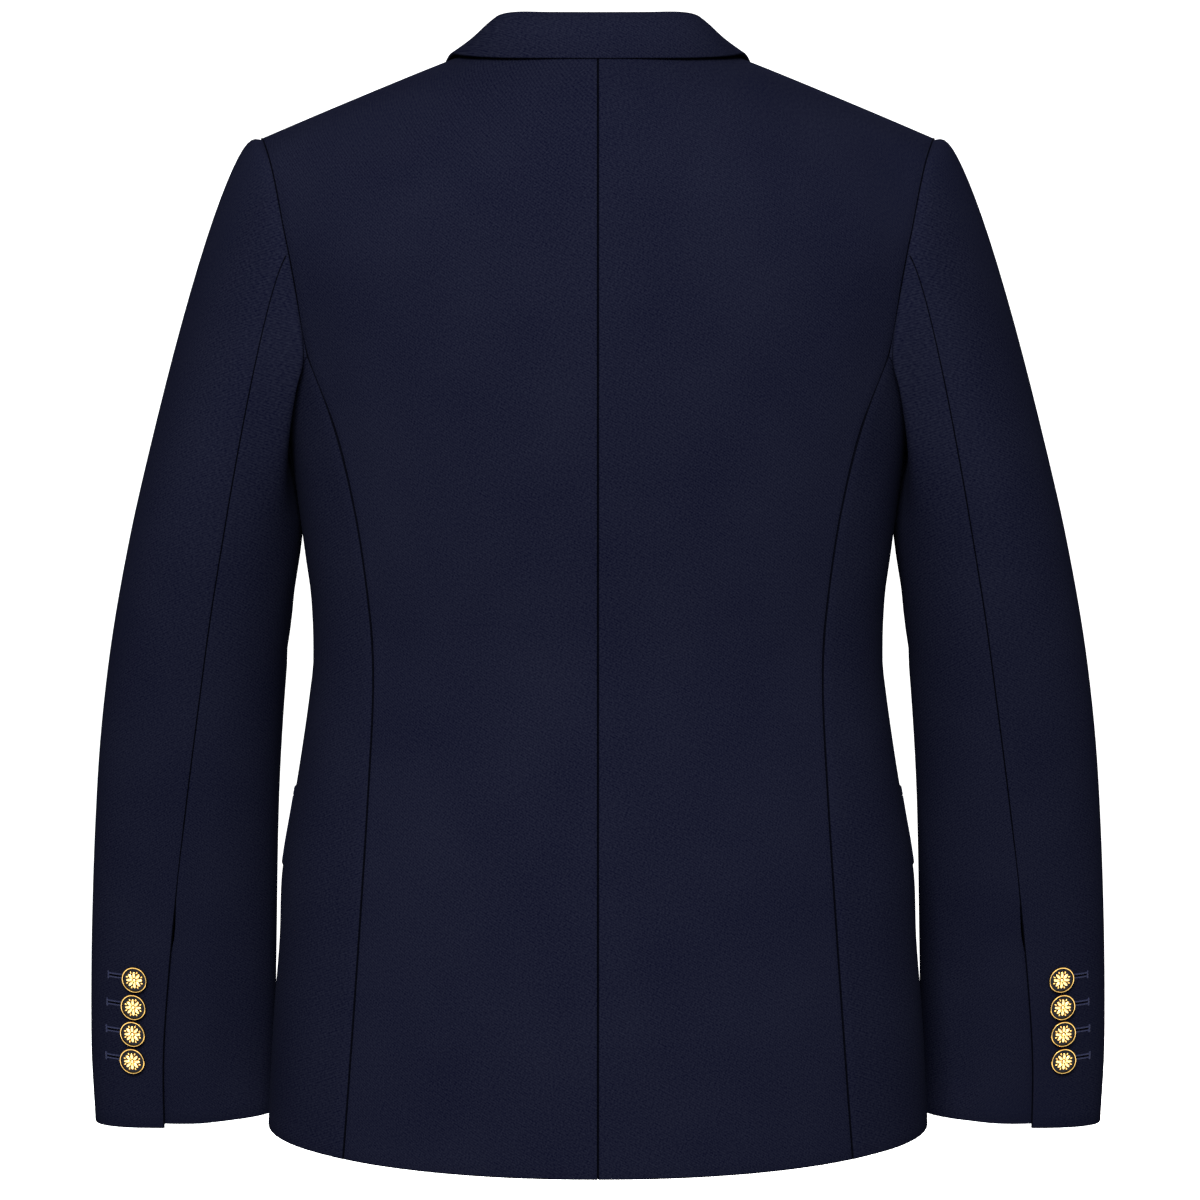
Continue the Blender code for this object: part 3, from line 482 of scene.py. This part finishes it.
# The cup's profile, from the end of the shank, out round the rim and in under the enamel, in these columns:
# radius and height in millimetres.
CUP_ROWS = (
    (0, 0.65),
    (2.6, 0.65),
    (2.7, 1.5),
    (8.2, 1.6),
    (8.75, 2.0),
    (9.0, 2.7),
    (8.93, 3.3),
    (8.6, 3.62),
    (8.3, 3.5),
    (8.15, 3.1),
    (8.1, 2.7),
    (0, 2.7),
)
DOME_MM = 8.12
DOME_LEVEL_MM = 2.7
DOME_RISE_MM = 0.6
DOME_SUNK_MM = 0.1  # the dome's lowest ring lies no further than this below the cup's floor
SHANK_CLEAR = 0.7 * MM  # the solid's shank ends this far above the cloth
GILT_SHADE_LEVEL_MM = 2.75  # the gilt is painted with shade up to this height, and with a highlight this much higher
GILT_HIGHLIGHT_RISE_MM = 1.2
PETALS = 8
# The rosette's drops, in these columns: distance from the middle, length, width and height in millimetres.
HEART = (0, 1.2, 1.2, 0.95)
PETAL = (3.6, 2.35, 1.12, 0.75)
SEED = (5.6, 0.95, 0.62, 0.5)
# Gilt colours: the pale one is a painted highlight on high relief, the deep one painted shade in hollows.
GILT_PAINTED_HIGHLIGHT = "#F8DA92"
GILT = "#C9973B"
GILT_PAINTED_SHADE = "#6E4510"
ENAMEL = "#0B0D18"
ENAMEL_DEEP = "#06070E"


def gilt_brass():
    """Gilt on brass, polished, with a painted highlight where the relief stands high and painted shade in its
    hollows.
    """
    made = bpy.data.materials.new("gilt_brass")
    made.use_nodes = True
    tree = made.node_tree
    shader = tree.nodes["Principled BSDF"]
    place = add_node(tree, "ShaderNodeTexCoord", {}, {})
    handled = add_node(
        tree,
        "ShaderNodeTexNoise",
        {},
        {"Vector": place.outputs["Object"], "Scale": 1 / (1.2 * MM), "Detail": 2.0},
    )
    relief = add_node(tree, "ShaderNodeAttribute", {"attribute_name": "relief"}, {})
    highlight_and_wear = add_node(
        tree,
        "ShaderNodeMix",
        {"data_type": "FLOAT"},
        {"Factor": 0.18, "A": relief.outputs["Fac"], "B": handled.outputs["Fac"]},
    )
    # Mostly painted light, a highlight on high relief and shade in its hollows, with a little random wear.
    colour = add_node(tree, "ShaderNodeValToRGB", {}, {"Fac": highlight_and_wear.outputs["Result"]})
    ramp = colour.color_ramp.elements
    ramp[0].position, ramp[0].color = 0.1, linear(GILT_PAINTED_SHADE)
    ramp[1].position, ramp[1].color = 0.88, linear(GILT_PAINTED_HIGHLIGHT)
    ramp.new(0.5).color = linear(GILT)
    polish = add_node(
        tree,
        "ShaderNodeMapRange",
        {},
        {"Value": handled.outputs["Fac"], "To Min": 0.18, "To Max": 0.32},
    )
    tree.links.new(colour.outputs["Color"], shader.inputs["Base Color"])
    tree.links.new(polish.outputs["Result"], shader.inputs["Roughness"])
    shader.inputs["Metallic"].default_value = 1.0
    return made


def dark_enamel():
    """Fired enamel: glassy and nearly black, with a faint navy depth."""
    made = bpy.data.materials.new("dark_enamel")
    made.use_nodes = True
    tree = made.node_tree
    shader = tree.nodes["Principled BSDF"]
    place = add_node(tree, "ShaderNodeTexCoord", {}, {})
    flow = add_node(
        tree,
        "ShaderNodeTexNoise",
        {},
        {"Vector": place.outputs["Object"], "Scale": 1 / (3 * MM), "Detail": 1.0},
    )
    colour = add_node(
        tree,
        "ShaderNodeMix",
        {"data_type": "RGBA"},
        {"Factor": flow.outputs["Fac"], "A": linear(ENAMEL_DEEP), "B": linear(ENAMEL)},
    )
    tree.links.new(colour.outputs["Result"], shader.inputs["Base Color"])
    shader.inputs["Roughness"].default_value = 0.12
    shader.inputs["IOR"].default_value = 1.52
    shader.inputs["Specular IOR Level"].default_value = 0.1
    return made


gilt = gilt_brass()
enamel = dark_enamel()


def finish_part(part, finish):
    """Places a part in its mesh, smooths it and gives it its finish."""
    bpy.ops.object.transform_apply(location=True, rotation=True, scale=True)
    bpy.ops.object.shade_smooth_by_angle(angle=math.radians(40))
    part.data.materials.clear()
    part.data.materials.append(finish)
    part.select_set(False)
    return part


def button_shell():
    """The stamped cup with its rolled rim and its shank, turned from its profile."""
    mesh = bpy.data.meshes.new("cup")
    profile = [(radius * MM, 0, height * MM) for radius, height in CUP_ROWS]
    mesh.from_pydata(profile, [(i, i + 1) for i in range(len(profile) - 1)], [])
    shell = bpy.data.objects.new("cup", mesh)
    bpy.context.scene.collection.objects.link(shell)
    shell.select_set(True)
    bpy.context.view_layer.objects.active = shell
    turned = shell.modifiers.new("turned", "SCREW")
    turned.steps = turned.render_steps = CUP_STEPS
    turned.use_merge_vertices = True
    turned.merge_threshold = MERGE
    turned.use_normal_calculate = True
    bpy.ops.object.modifier_apply(modifier=turned.name)
    return finish_part(shell, gilt)


def button_dome():
    """The enamel: the top half of a flattened ball, closed level just below the cup's floor."""
    bpy.ops.mesh.primitive_uv_sphere_add(
        segments=48, ring_count=20, radius=DOME_MM * MM, location=(0, 0, DOME_LEVEL_MM * MM)
    )
    dome = bpy.context.object
    dome.scale = (1, 1, DOME_RISE_MM / DOME_MM)
    bpy.ops.object.transform_apply(location=True, scale=True)
    shape = bmesh.new()
    shape.from_mesh(dome.data)
    below = [vertex for vertex in shape.verts if vertex.co.z < (DOME_LEVEL_MM - DOME_SUNK_MM) * MM]
    bmesh.ops.delete(shape, geom=below, context="VERTS")
    bmesh.ops.holes_fill(shape, edges=[edge for edge in shape.edges if edge.is_boundary])
    shape.to_mesh(dome.data)
    shape.free()
    return finish_part(dome, enamel)


def raised(turn, out_mm, long_mm, wide_mm, high_mm):
    """One raised drop of gilt on the dome, at a turn around its middle and a distance from it."""
    level = DOME_LEVEL_MM + DOME_RISE_MM * math.sqrt(1 - (out_mm / DOME_MM) ** 2)
    bpy.ops.mesh.primitive_uv_sphere_add(
        segments=16,
        ring_count=10,
        radius=MM,
        location=(out_mm * MM * math.cos(turn), out_mm * MM * math.sin(turn), level * MM),
        rotation=(0, 0, turn),
    )
    drop = bpy.context.object
    drop.scale = (long_mm, wide_mm, high_mm)
    return finish_part(drop, gilt)


def make_button():
    """The whole button as one mesh."""
    parts = [button_shell(), button_dome(), raised(0, *HEART)]
    for i in range(PETALS):
        turn = 2 * math.pi * i / PETALS
        parts.append(raised(turn, *PETAL))
        parts.append(raised(turn + math.pi / PETALS, *SEED))
    for part in parts:
        part.select_set(True)
    bpy.context.view_layer.objects.active = parts[0]
    bpy.ops.object.join()
    whole = parts[0]
    whole.name = "button_pattern"
    # Height above the cup's floor, which the gilt turns into painted highlight and painted shade.
    relief = whole.data.attributes.new("relief", "FLOAT", "POINT")
    for vertex in whole.data.vertices:
        relief.data[vertex.index].value = (vertex.co.z / MM - GILT_SHADE_LEVEL_MM) / GILT_HIGHLIGHT_RISE_MM
    whole.select_set(False)
    return whole


def button_place(node, facing):
    """Where a button's solid sits: the cloth under its middle, and the way it faces."""
    points = np.array([vertex.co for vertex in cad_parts[node].data.vertices])
    points = np.unique(points.round(6), axis=0)
    middle = points.mean(axis=0)
    way = np.linalg.svd(points - middle)[2][2]
    if way @ facing < 0:
        way = -way
    lowest = ((points - middle) @ way).min()
    return Vector(middle + way * (lowest - SHANK_CLEAR)), Vector(way)


def standing(place, way, size):
    """The matrix that takes the pattern button to its place, upright."""
    side = Vector((0, 0, 1)).cross(way).normalized()
    up = way.cross(side)
    turned = Matrix((side, up, way)).transposed().to_4x4()
    return Matrix.Translation(place) @ turned @ Matrix.Scale(size, 4)


pattern = make_button()
BUTTON_GROUPS = []
for side, outward in SIDES:
    for number in (1, 2, 3, 4):
        back_and_out = Vector((0.5 * outward, 0.85, 0))
        BUTTON_GROUPS.append((f"cuff_button_{side}_{number}", back_and_out, 1.0))
    for row in ("top", "middle", "bottom"):
        forwards = Vector((0, -1, 0))
        BUTTON_GROUPS.append((f"front_button_{row}_{side}", forwards, FRONT_BUTTON_MM / CUFF_BUTTON_MM))
button_places = {}
for node, facing, size in BUTTON_GROUPS:
    place, way = button_place(node, facing)
    button_places[node] = (place, way)
    mesh = pattern.data.copy()
    mesh.transform(standing(place, way, size))
    button = bpy.data.objects.new(node + "_gilt", mesh)
    bpy.context.scene.collection.objects.link(button)
    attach(button, "root")
    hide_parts(node)
bpy.data.objects.remove(pattern)


# ---------------------------------------------------------------- buttonholes
# Worked keyhole buttonholes in silk twist, one shade lighter than the cloth. Two rows of purl stitch lie
# along a dark slit, and a bar tack crosses the outer end. The button covers the inner end.

TWIST = "#222744"
# darker twist: painted shade in the hollows between the purl stitches
TWIST_PAINTED_SHADE = "#121427"
HOLE_LONG = 23.3 * MM
ROW_APART = 1.2 * MM  # from the slit's middle to a row's middle
ROW_WIDE = 1.1 * MM
ROW_HIGH = 0.55 * MM
ROW_PIECES = 8
SLIT_WIDE = 1.4 * MM
SLIT_HIGH = 0.2 * MM
TACK_LONG = 1.95 * MM  # each of the three bars of the bar tack
TACK_WIDE = 1.5 * MM
TACK_APART = 1.9 * MM
HOLE_LIFT = 0.08 * MM  # above the cloth
STITCH_MM = 0.7  # spacing of the purl stitches


def silk_twist():
    """Buttonhole twist: a glossy three-ply silk thread. Each stitch is a small ridge, with painted shade
    between the stitches.
    """
    made = bpy.data.materials.new("silk_twist")
    made.use_nodes = True
    tree = made.node_tree
    shader = tree.nodes["Principled BSDF"]
    run = add_node(tree, "ShaderNodeUVMap", {"uv_map": "run"}, {})
    stitches = add_node(
        tree,
        "ShaderNodeTexWave",
        {"wave_type": "BANDS", "bands_direction": "X"},
        {"Vector": run.outputs["UV"], "Scale": WAVE_REPEAT / (STITCH_MM * MM), "Distortion": 0.8},
    )
    # Painted shade: the twist turns darker in the hollows between stitches, in step with the bump.
    colour = add_node(
        tree,
        "ShaderNodeMix",
        {"data_type": "RGBA"},
        {"Factor": stitches.outputs["Fac"], "A": linear(TWIST_PAINTED_SHADE), "B": linear(TWIST)},
    )
    relief = add_node(
        tree,
        "ShaderNodeBump",
        {},
        {"Strength": 0.6, "Distance": 0.15 * MM, "Height": stitches.outputs["Fac"]},
    )
    tree.links.new(colour.outputs["Result"], shader.inputs["Base Color"])
    tree.links.new(relief.outputs["Normal"], shader.inputs["Normal"])
    shader.inputs["Roughness"].default_value = 0.6
    shader.inputs["Specular IOR Level"].default_value = 0.12
    return made


def slit_shadow():
    """The cut of the buttonhole, a near-black strip of painted shadow for the shade inside the slit."""
    made = bpy.data.materials.new("slit_painted_shadow")
    made.use_nodes = True
    tree = made.node_tree
    place = add_node(tree, "ShaderNodeTexCoord", {}, {})
    fluff = add_node(
        tree,
        "ShaderNodeTexNoise",
        {},
        {"Vector": place.outputs["Object"], "Scale": 1 / (0.8 * MM), "Detail": 1.0},
    )
    colour = add_node(
        tree,
        "ShaderNodeMix",
        {"data_type": "RGBA"},
        {"Factor": fluff.outputs["Fac"], "A": linear("#020203"), "B": linear("#050509")},
    )
    shader = tree.nodes["Principled BSDF"]
    tree.links.new(colour.outputs["Result"], shader.inputs["Base Color"])
    shader.inputs["Roughness"].default_value = 0.95
    shader.inputs["Specular IOR Level"].default_value = 0.0
    return made


twist = silk_twist()
slit = slit_shadow()


def thread_bar(long, wide, high, middle, turn, finish):
    """A rounded bar of thread, lying flat: x runs along the buttonhole and z away from the cloth."""
    bpy.ops.mesh.primitive_cube_add(size=1, location=(0, 0, 0))
    bar = bpy.context.object
    bar.scale = (long, wide, high)
    bpy.ops.object.transform_apply(scale=True)
    bpy.ops.object.mode_set(mode="EDIT")
    bpy.ops.mesh.select_all(action="SELECT")
    bpy.ops.mesh.subdivide(number_cuts=1)
    bpy.ops.object.mode_set(mode="OBJECT")
    soft = bar.modifiers.new("soft", "BEVEL")
    soft.width = min(wide, high) * 0.45
    soft.segments = 3
    soft.limit_method = "ANGLE"
    bpy.ops.object.modifier_apply(modifier=soft.name)
    bar.data.shade_smooth()
    layer = bar.data.uv_layers.get("run") or bar.data.uv_layers.new(name="run")
    for loop in bar.data.loops:
        point = bar.data.vertices[loop.vertex_index].co
        layer.data[loop.index].uv = (point.x, point.y)
    for other in [u for u in bar.data.uv_layers if u.name != "run"]:
        bar.data.uv_layers.remove(other)
    bar.data.transform(Matrix.Translation(middle) @ Matrix.Rotation(turn, 4, "Z"))
    bar.data.materials.clear()
    bar.data.materials.append(finish)
    bar.select_set(False)
    return bar


def make_buttonhole(name, node, place, way, along):
    """Models the buttonhole flat, then lays it on the cloth. It runs from the button's middle outwards."""
    parts = []
    step = HOLE_LONG / ROW_PIECES
    for i in range(ROW_PIECES):
        x = step * (i + 0.5)
        for edge in (-1, 1):
            middle = (x, edge * ROW_APART, 0)
            parts.append(thread_bar(step * 1.02, ROW_WIDE, ROW_HIGH, middle, 0, twist))
        parts.append(thread_bar(step, SLIT_WIDE, SLIT_HIGH, (x, 0, 0), 0, slit))
    for shift in (-TACK_APART, 0, TACK_APART):
        middle = (HOLE_LONG + 0.2 * MM, shift, 0.1 * MM)
        parts.append(thread_bar(TACK_LONG, TACK_WIDE, ROW_HIGH * 1.3, middle, math.pi / 2, twist))
    for part in parts:
        part.select_set(True)
    bpy.context.view_layer.objects.active = parts[0]
    bpy.ops.object.join()
    hole = parts[0]
    hole.name = name
    hole.data.name = name
    cloth = bpy.data.objects[node + "_cloth"]
    tree = BVHTree.FromObject(cloth, bpy.context.evaluated_depsgraph_get())
    up = way.cross(along).normalized()
    for vertex in hole.data.vertices:
        flat = place + along * vertex.co.x + up * vertex.co.y
        spot, normal, _, _ = tree.find_nearest(flat + way * 2 * MM)
        vertex.co = spot + normal * (vertex.co.z + HOLE_LIFT)
    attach(hole, "root")
    hole.select_set(False)


HOLE_ABOVE = 0.8 * MM  # the buttonhole runs a little above the button's middle
for side, outward in SIDES:
    for number in (1, 2, 3, 4):
        place, way = button_places[f"cuff_button_{side}_{number}"]
        along = Vector((0, 0, 1)).cross(way).normalized() * outward
        if along.x * outward < 0:
            along = -along
        start = place + Vector((0, 0, HOLE_ABOVE))
        make_buttonhole(f"cuff_buttonhole_{side}_{number}", f"sleeve_top_{side}", start, way, along)
for row in ("middle", "bottom"):
    place, way = button_places[f"front_button_{row}_right"]
    along = Vector((0, 0, 1)).cross(way).normalized()
    if along.x > 0:
        along = -along
    make_buttonhole(f"front_buttonhole_{row}", "front_left", place - along * 3 * MM, way, along)


# ---------------------------------------------------------------- floor, light and camera
# A pale floor well below the hem and white walls all round, lit from within like a product booth. Their
# light is kept off the cloth, so the soft lights behind and before it shape it, with a little even fill.
# The camera looks slightly down at the back, from a long way off through a long lens.

FILL = 0.35
WALL_GLOW = 1.06
FLOOR_GLOW = 0.9
WALL_RADIUS = 25
FLOOR_SIZE = 40
FLOOR_LEVEL = -1.5
PAPER = "#FAFAFA"
PAPER_PALE = "#FDFDFD"

bpy.ops.object.select_all(action="DESELECT")
bpy.ops.mesh.primitive_plane_add(size=FLOOR_SIZE, location=(0, 0, FLOOR_LEVEL))
floor = bpy.context.object
floor.name = "floor"
paper = bpy.data.materials.new("pale_paper")
paper.use_nodes = True
paper_tree = paper.node_tree
paper_grain = add_node(paper_tree, "ShaderNodeTexNoise", {}, {"Scale": 3.0})
paper_colour = add_node(
    paper_tree,
    "ShaderNodeMix",
    {"data_type": "RGBA"},
    {"Factor": paper_grain.outputs["Fac"], "A": linear(PAPER), "B": linear(PAPER_PALE)},
)
paper_shader = paper_tree.nodes["Principled BSDF"]
paper_tree.links.new(paper_colour.outputs["Result"], paper_shader.inputs["Base Color"])
paper_shader.inputs["Roughness"].default_value = 0.9
paper_shader.inputs["Emission Color"].default_value = (1, 1, 1, 1)
paper_shader.inputs["Emission Strength"].default_value = FLOOR_GLOW
floor.data.materials.append(paper)
floor.visible_diffuse = False

bpy.ops.mesh.primitive_uv_sphere_add(segments=48, ring_count=24, radius=WALL_RADIUS)
wall = bpy.context.object
wall.name = "booth_wall"
glow = bpy.data.materials.new("lit_white_wall")
glow.use_nodes = True
glow_shader = glow.node_tree.nodes["Principled BSDF"]
glow_shader.inputs["Base Color"].default_value = linear(PAPER)
glow_shader.inputs["Emission Color"].default_value = (1, 1, 1, 1)
glow_shader.inputs["Emission Strength"].default_value = WALL_GLOW
wall.data.materials.append(glow)
wall.visible_diffuse = False
wall.visible_shadow = False

surround = bpy.data.worlds.new("surround")
surround.use_nodes = True
surround.node_tree.nodes["Background"].inputs["Color"].default_value = (1, 1, 1, 1)
surround.node_tree.nodes["Background"].inputs["Strength"].default_value = FILL
bpy.context.scene.world = surround

# The lamps, in these columns: name, place, size in metres, power in watts.
LIGHTS = (
    ("key", (0.3, 3.4, 1.5), 1.6, 260),
    ("front", (-0.4, -3.4, 1.2), 1.6, 220),
)
MIDDLE = Vector((0, 0, -0.36))
for name, place, size, watts in LIGHTS:
    lamp = bpy.data.lights.new(name, "AREA")
    lamp.size = size
    lamp.energy = watts
    holder = bpy.data.objects.new(name, lamp)
    holder.location = place
    holder.rotation_euler = (MIDDLE - Vector(place)).to_track_quat("-Z", "Y").to_euler()
    bpy.context.scene.collection.objects.link(holder)

CAMERA_PLACE = Vector((0, 2.587, -0.1029))
CAMERA_AIM = Vector((0, 0, -0.3611))
LENS_MM = 118.2
LENS_SHIFT = 0.0017
lens = bpy.data.cameras.new("camera")
lens.sensor_width = 36
lens.lens = LENS_MM
lens.clip_end = 4 * WALL_RADIUS
lens.shift_x = LENS_SHIFT
camera = bpy.data.objects.new("camera", lens)
camera.location = CAMERA_PLACE
camera.rotation_euler = (CAMERA_AIM - CAMERA_PLACE).to_track_quat("-Z", "Y").to_euler()
bpy.context.scene.collection.objects.link(camera)
bpy.context.scene.camera = camera
bpy.context.scene.view_settings.view_transform = "Standard"
